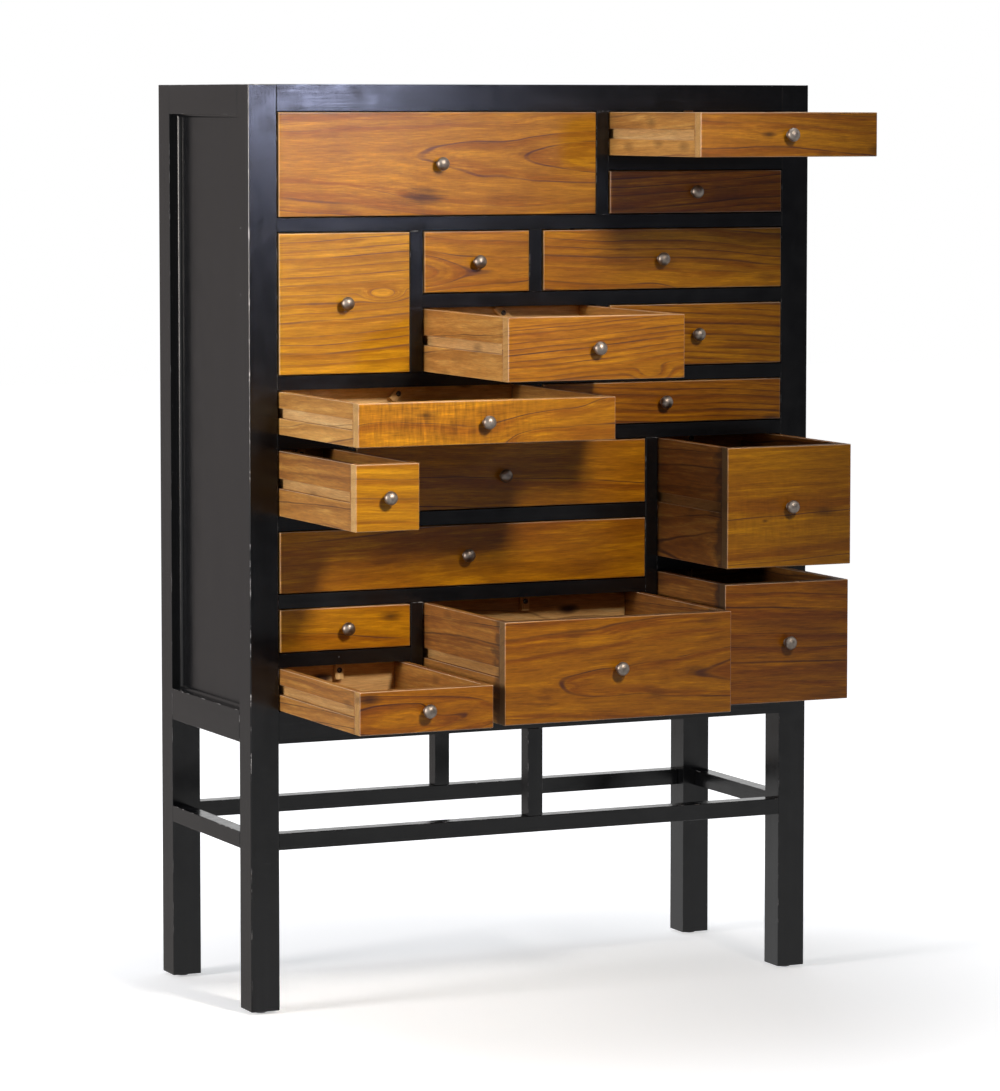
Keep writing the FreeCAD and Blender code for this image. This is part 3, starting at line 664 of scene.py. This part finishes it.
    # The crowns of the arrises are pale, partly where the finish is rubbed through and partly as a
    # painted highlight, strongest on the upper ones
    wear_and_glint = add_node(tree, "Attribute", attribute_name="wear_and_glint").outputs["Fac"]
    rub = add_node(tree, "MapRange", {"Value": comes, "To Min": 0.15, "To Max": 0.75})
    rubbed_and_glint = add_node(tree, "Math", {0: wear_and_glint, 1: rub.outputs[0]}, operation="MULTIPLY")
    colour = add_node(tree, "Mix", {0: rubbed_and_glint.outputs[0], 6: soaked, 7: linear("ecd6bc")},
                      data_type="RGBA").outputs[2]
    if not varnished:
        # Glue and stain ran out of the joint with the front, over 10 mm or so
        joint = add_node(tree, "Attribute", attribute_name="joint").outputs["Vector"]
        behind, glued = add_node(tree, "SeparateXYZ", {"Vector": joint}).outputs[:2]
        drips = drawn_out(tree, log, (30, 70, 70), 3.0, seed=seed)
        runs = add_node(tree, "Math", {0: drips, 1: -36 * MM, 2: behind},
                        operation="MULTIPLY_ADD")
        run = add_node(tree, "MapRange", {"Value": runs.outputs[0], "From Min": -14 * MM,
                                          "From Max": -6 * MM, "To Min": 0.85, "To Max": 0.0})
        smear = add_node(tree, "Math", {0: run.outputs[0], 1: glued}, operation="MULTIPLY")
        colour = add_node(tree, "Mix", {0: smear.outputs[0], 6: colour, 7: linear("2b1a10")},
                          data_type="RGBA").outputs[2]
    gloss = add_node(tree, "MapRange", {"Value": fibres, "To Min": 0.28 if varnished else 0.58,
                                        "To Max": 0.36 if varnished else 0.85})
    relief = add_node(tree, "Math", {0: line, 1: -0.3, 2: fibres}, operation="MULTIPLY_ADD")
    give_surface(tree, colour, gloss.outputs[0], relief.outputs[0], 0.2 if varnished else 0.5,
                 0.3 * MM, IOR=1.44)
    return material


def steel(name):
    """Zinc-plated steel gone dull: grey-brown, with tarnish in patches 2 mm across."""
    material, tree = blank_material(name)
    place = add_node(tree, "TexCoord").outputs["Object"]
    tarnish = add_node(tree, "TexNoise", {"Vector": place, "Scale": 500.0,
                                          "Detail": 3.0}).outputs["Fac"]
    colour = add_node(tree, "ValToRGB", {"Fac": tarnish},
                      stops=[(0.35, "2b2622"), (0.55, "5a534b"), (0.75, "80796f")])
    gloss = add_node(tree, "MapRange", {"Value": tarnish, "To Min": 0.6, "To Max": 0.35})
    give_surface(tree, colour.outputs["Color"], gloss.outputs[0], tarnish, 0.2, 0.1 * MM,
                 Metallic=1.0)
    return material


# The colours are those of the early wood, the wood before the line, the streaks, the line and the
# flecks
DRAWER_FINISHES = [
    plain_sawn("stained_varnished_front", "bc8c08", "aa7608", "865608", "785044", "d8a81c", True),
    plain_sawn("oiled_side", "c0924e", "ad7f40", "80562a", "765236", "d8b068", False),
    plain_sawn("bare_inside_and_groove", "d2ae7a", "c8a46e", "ac8856", "a28258", "e2c694", False),
    plain_sawn("bare_end_grain", "cca870", "c4a068", "ba965e", "b6925e", "d4b27c", False),
    steel("dull_zinc_plated_steel"),
]

for number, (pith, way, tone, figure) in FRONTS.items():
    name = f"drawer_{number:02d}"
    low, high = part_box(name + "_box")
    top = high.z if number in LOOSE_BUTTONS else high.z - BUTTON_RISE
    joint_y = low.y + FRONT_BOARD
    rear = high.y - SIDE_BOARD
    left, right = low.x + SIDE_BOARD, high.x - SIDE_BOARD
    oiled = OILED_TONES.get(number, USUAL_OILED_TONE)
    spread = 2.0 if number in GLUED else 1.0
    seed = number * SEED_STEP
    sawyer = random.Random(number)
    drawer = bmesh.new()

    # The front
    bm = sawn_front((low.x, low.y, low.z), (high.x, joint_y, top))
    lay_grain(bm, (0, 2, 1), pith, seed, tone, way, figure,
              SWELLINGS.get(number, NO_SWELLING), KNOTS.get(number, NO_KNOT))
    mark_joint(bm, joint_y, 1.0, GLUED.get(number, 0.0))
    add_board(drawer, bm)

    # The sides, onto which the stain of the front crept above the groove
    for start, end, outer in ((low.x, left, low.x), (right, high.x, high.x)):
        bm = grooved_side((start, joint_y, low.z), (end, high.y, top), outer)
        pith = (sawyer.uniform(-90, 90), sawyer.uniform(30, 90), sawyer.uniform(15, 50))
        lay_grain(bm, (1, 2, 0), pith, seed + 1 + start, oiled)
        mark_joint(bm, joint_y, spread, GLUED.get(number, USUAL_GLUED))
        board = bm.verts.layers.float_vector["board"]
        for vert in bm.verts:
            if vert.co.z > (low.z + top) / 2:
                vert[board].y += STAIN_CREEP
        add_board(drawer, bm)

    # The back, whose wood is wilder and paler
    bm = plank((left, rear, low.z), (right, high.y, top), BOARD_ARRIS)
    pith = (sawyer.uniform(-90, 90), sawyer.uniform(-30, 30), sawyer.uniform(25, 80))
    lay_grain(bm, (0, 2, 1), pith, seed + 2, 0.7 * oiled, 1, BACK_FIGURE)
    give_finish(bm, BARE)
    add_board(drawer, bm)

    # The floor
    floor = low.z + FLOOR_LIFT
    bm = plank((left, joint_y, floor), (right, rear, floor + FLOOR_BOARD))
    lay_grain(bm, (0, 1, 2), (sawyer.uniform(-90, 90), 0, 60), seed + 3, oiled)
    give_finish(bm, OILED)
    add_board(drawer, bm)

    # The turn-button and its screw. A loose one has turned, and is a piece of its own
    pivot = Vector(((low.x + high.x) / 2, rear - BUTTON_PLAY - BUTTON_THICKNESS,
                    top - BUTTON_DROP))
    add_board(drawer, screw(pivot.x, pivot.y - BUTTON_PLAY, pivot.z, 1, BUTTON_SHANK))
    half = Vector((BUTTON_WIDTH / 2, 0, BUTTON_LENGTH / 2))
    bm = plank(pivot - half, pivot + half + Vector((0, BUTTON_THICKNESS, 0)), BUTTON_ARRIS, 3)
    lay_grain(bm, (2, 0, 1), (0, 10, 40), seed + 4, BUTTON_TONE)
    give_finish(bm, BARE)
    if number in LOOSE_BUTTONS:
        bmesh.ops.rotate(bm, verts=bm.verts, cent=pivot,
                         matrix=Matrix.Rotation(math.radians(LOOSE_BUTTONS[number]), 3, "Y"))
        set_down(name + "_turn_button", bm, DRAWER_FINISHES, name + "_button", "stained_wood",
                 name + "_stop")
    else:
        add_board(drawer, bm)
    set_down(name + "_boards", drawer, DRAWER_FINISHES, name, "stained_wood", name + "_box")

# ---------------------------------------------------------------- knobs
# Cast zinc balls on a short neck and collar, tumbled, plated with satin nickel and held by a
# screw through the front. The plating has tarnished faintly in places.

NECK_RADIUS = 4.0           # these and the outline in mm
BALL_RADIUS = 9.8
BALL_DEPTH = 7.5
BALL_MIDDLE = 11.0          # from the front
BALL_STEPS = 20
KNOB_SHANK = 28
neck_turn = math.pi - math.asin(NECK_RADIUS / BALL_RADIUS)
turns = [neck_turn * step / BALL_STEPS for step in range(BALL_STEPS + 1)]
KNOB = [(BALL_RADIUS * math.sin(turn), BALL_MIDDLE + BALL_DEPTH * math.cos(turn))
        for turn in turns]
KNOB += [(NECK_RADIUS, 2.4), (4.3, 1.7), (5.2, 1.3), (5.8, 1.0), (6.0, 0.6), (6.0, 0.0),
         (2.0, 0.0)]


def satin_nickel(name):
    """Satin nickel plate: a warm grey metal, tumbled to a soft sheen, with faint tarnish in
    clouds 6 mm across."""
    material, tree = blank_material(name)
    place = add_node(tree, "TexCoord").outputs["Object"]
    clouds = add_node(tree, "TexNoise", {"Vector": place, "Scale": 160.0,
                                         "Detail": 3.0}).outputs["Fac"]
    # The tumbling grit is 0.1 mm; it is drawn at 0.4 mm so that it shows
    grit = add_node(tree, "TexNoise", {"Vector": place, "Scale": 2400.0,
                                       "Detail": 2.0}).outputs["Fac"]
    colour = add_node(tree, "ValToRGB", {"Fac": clouds},
                      stops=[(0.3, "6f665f"), (0.55, "877e76"), (0.8, "9b9289")])
    gloss = add_node(tree, "MapRange", {"Value": clouds, "From Min": 0.3, "From Max": 0.7,
                                        "To Min": 0.36, "To Max": 0.48})
    give_surface(tree, colour.outputs["Color"], gloss.outputs[0], grit, 0.12, 0.1 * MM,
                 Metallic=1.0)
    return material


NICKEL = satin_nickel("satin_nickel_plate")
for number in FRONTS:
    name = f"drawer_{number:02d}"
    low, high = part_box(name + "_knob")
    x = (low.x + high.x) / 2
    z = (low.z + high.z) / 2
    face_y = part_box(name + "_box")[0].y
    bm = turned(KNOB, 36)
    bmesh.ops.transform(bm, verts=bm.verts, matrix=Matrix.Translation((x, face_y, z))
                        @ Matrix.Rotation(math.radians(90), 4, "X"))
    for face in bm.faces:
        face.smooth = True
    head = screw(x, face_y + FRONT_BOARD, z, -1, KNOB_SHANK)
    give_finish(head, 1)
    add_board(bm, head)
    set_down(name + "_knob_plated", bm, [NICKEL, DRAWER_FINISHES[STEEL]], name, "satin_nickel",
             name + "_knob")

# ---------------------------------------------------------------- camera
# A long lens well back and a little to the left, at the height of the top of the case and tilted
# down a little. A small shift frames the chest.

IMAGE_HEIGHT = 1091         # pixels, of an image 1000 wide
SENSOR = 36.0
FOCAL_LENGTH = 4593.8       # pixels
FRAMING = -75.5             # pixels up
TILT, ROLL, SWING = -4.573, -0.018, -24.775     # degrees

camera_data = bpy.data.cameras.new("camera")
camera_data.sensor_width = SENSOR
camera_data.lens = FOCAL_LENGTH / IMAGE_HEIGHT * SENSOR
camera_data.shift_y = FRAMING / IMAGE_HEIGHT
camera_data.clip_end = 60.0
camera = bpy.data.objects.new("camera", camera_data)
camera.location = (-2.8569, -6.2451, 1.3080)
camera.rotation_euler = (math.radians(90 + TILT), math.radians(ROLL), math.radians(SWING))
bpy.context.scene.collection.objects.link(camera)
bpy.context.scene.camera = camera

# ---------------------------------------------------------------- light and floor
# A softbox in front and above, a wide panel at the left, another overhead and a small umbrella in
# front to the right. Round them is a white studio, whose floor keeps the chest's shadow.

# Name, place, what it points at, width, height, spread in degrees, watts, colour
LAMPS = [
    ("gridded_softbox", (0.18, -2.5, 2.28), (-0.78, -0.18, 0.85), 0.4, 0.4, 58, 11.2, "fff1e0"),
    ("left_panel", (-4.6, -0.5, 1.45), (0, -0.2, 0.85), 1.2, 1.6, 180, 160.0, "fff5ec"),
    ("overhead_panel", (0.0, 0.9, 3.4), (0, 0.1, 0), 2.6, 2.0, 180, 36.0, "ffffff"),
    ("right_umbrella", (0.79, -3.0, 1.42), (-0.38, -0.18, 1.38), 0.24, 0.24, 34, 0.38, "d0d8ff"),
]
for name, place, aim, width, length, spread, power, colour in LAMPS:
    lamp = bpy.data.lights.new(name, "AREA")
    lamp.shape = "RECTANGLE"
    lamp.size = width
    lamp.size_y = length
    lamp.spread = math.radians(spread)
    lamp.energy = power
    lamp.color = linear(colour)[:3]
    holder = bpy.data.objects.new(name, lamp)
    holder.location = place
    holder.rotation_euler = (Vector(aim) - Vector(place)).to_track_quat("-Z", "Y").to_euler()
    holder.visible_camera = False
    bpy.context.scene.collection.objects.link(holder)


def seen_rays(tree):
    """1 for the rays that see the studio: the camera's, and those that shiny or clear things
    send on."""
    path = add_node(tree, "LightPath")
    seen = path.outputs["Is Camera Ray"]
    for kind in ("Is Glossy Ray", "Is Transmission Ray"):
        seen = add_node(tree, "Math", {0: seen, 1: path.outputs[kind]},
                        operation="MAXIMUM").outputs[0]
    return seen


world = bpy.data.worlds.new("white_studio")
world.use_nodes = True
bpy.context.scene.world = world
tree = world.node_tree
tree.nodes.clear()
soft = add_node(tree, "Background", {"Color": linear("f4f5f8"), "Strength": 0.015})
white = add_node(tree, "Background", {"Color": linear("ffffff"), "Strength": 1.0})
both = add_node(tree, "MixShader", {0: seen_rays(tree), 1: soft.outputs[0], 2: white.outputs[0]})
add_node(tree, "OutputWorld", {"Surface": both.outputs[0]})


def stand(name, width, height, place, turn, material):
    """A sheet of the studio's, centred on a place and turned about X."""
    bm = bmesh.new()
    bmesh.ops.create_grid(bm, x_segments=1, y_segments=1, size=0.5)
    bmesh.ops.scale(bm, vec=(width, height, 1), verts=bm.verts)
    bmesh.ops.transform(bm, verts=bm.verts, matrix=Matrix.Translation(place)
                        @ Matrix.Rotation(math.radians(turn), 4, "X"))
    mesh = bpy.data.meshes.new(name)
    bm.to_mesh(mesh)
    bm.free()
    mesh.materials.append(material)
    sheet = bpy.data.objects.new(name, mesh)
    bpy.context.scene.collection.objects.link(sheet)
    return sheet


paper, tree = blank_material("white_backdrop_paper")
# The floor glows for the camera and in reflections: half as strong round the chest and rising to
# white 1.3 m from it, painted light where the lamps don't reach
place = add_node(tree, "TexCoord").outputs["Object"]
spot = add_node(tree, "VectorMath", {0: place, 1: (-0.1, -0.1, 0.0)}, operation="DISTANCE")
whiter = add_node(tree, "MapRange", {"Value": spot.outputs["Value"], "From Min": 0.3,
                                     "From Max": 1.3, "To Min": 0.5, "To Max": 1.0},
                  interpolation_type="SMOOTHSTEP")
lift = add_node(tree, "Math", {0: seen_rays(tree), 1: whiter.outputs[0]}, operation="MULTIPLY")
matt = add_node(tree, "BsdfDiffuse", {"Color": linear("eaf0f9")})
glow = add_node(tree, "Emission", {"Color": linear("ffffff"), "Strength": lift.outputs[0]})
lifted = add_node(tree, "AddShader", {0: matt.outputs[0], 1: glow.outputs[0]})
add_node(tree, "OutputMaterial", {"Surface": lifted.outputs[0]})
stand("studio_floor", 28, 28, (0, 0, 0), 0, paper)

# Black things are lit by what they mirror, so cards that only reflections see stand behind to the
# left and in front to the right, and two lie on the floor. They keep the lacquer dark.
# Name, width, height, place, degrees about X, brightness, colour
CARDS = [
    ("grey_card", 4.4, 3.0, (-2.6, 2.9, 1.5), 90, 0.37, "fff4f0"),
    ("black_card", 7.0, 3.6, (2.6, -3.9, 1.8), 90, 0.12, "f4f4ff"),
    ("floor_card", 12.0, 12.0, (0, 0, 0.004), 0, 0.72, "ffffff"),
    ("back_floor_card", 6.0, 3.2, (-3.45, 1.3, 0.006), 0, 0.4, "fff8f4"),
]
for name, width, height, place, turn, level, colour in CARDS:
    card, tree = blank_material(name)
    shade = add_node(tree, "Emission", {"Color": linear(colour), "Strength": level})
    add_node(tree, "OutputMaterial", {"Surface": shade.outputs[0]})
    sheet = stand(name, width, height, place, turn, card)
    sheet.visible_camera = False
    sheet.visible_diffuse = False
    sheet.visible_transmission = False
    sheet.visible_shadow = False

bpy.context.scene.view_settings.view_transform = "Standard"
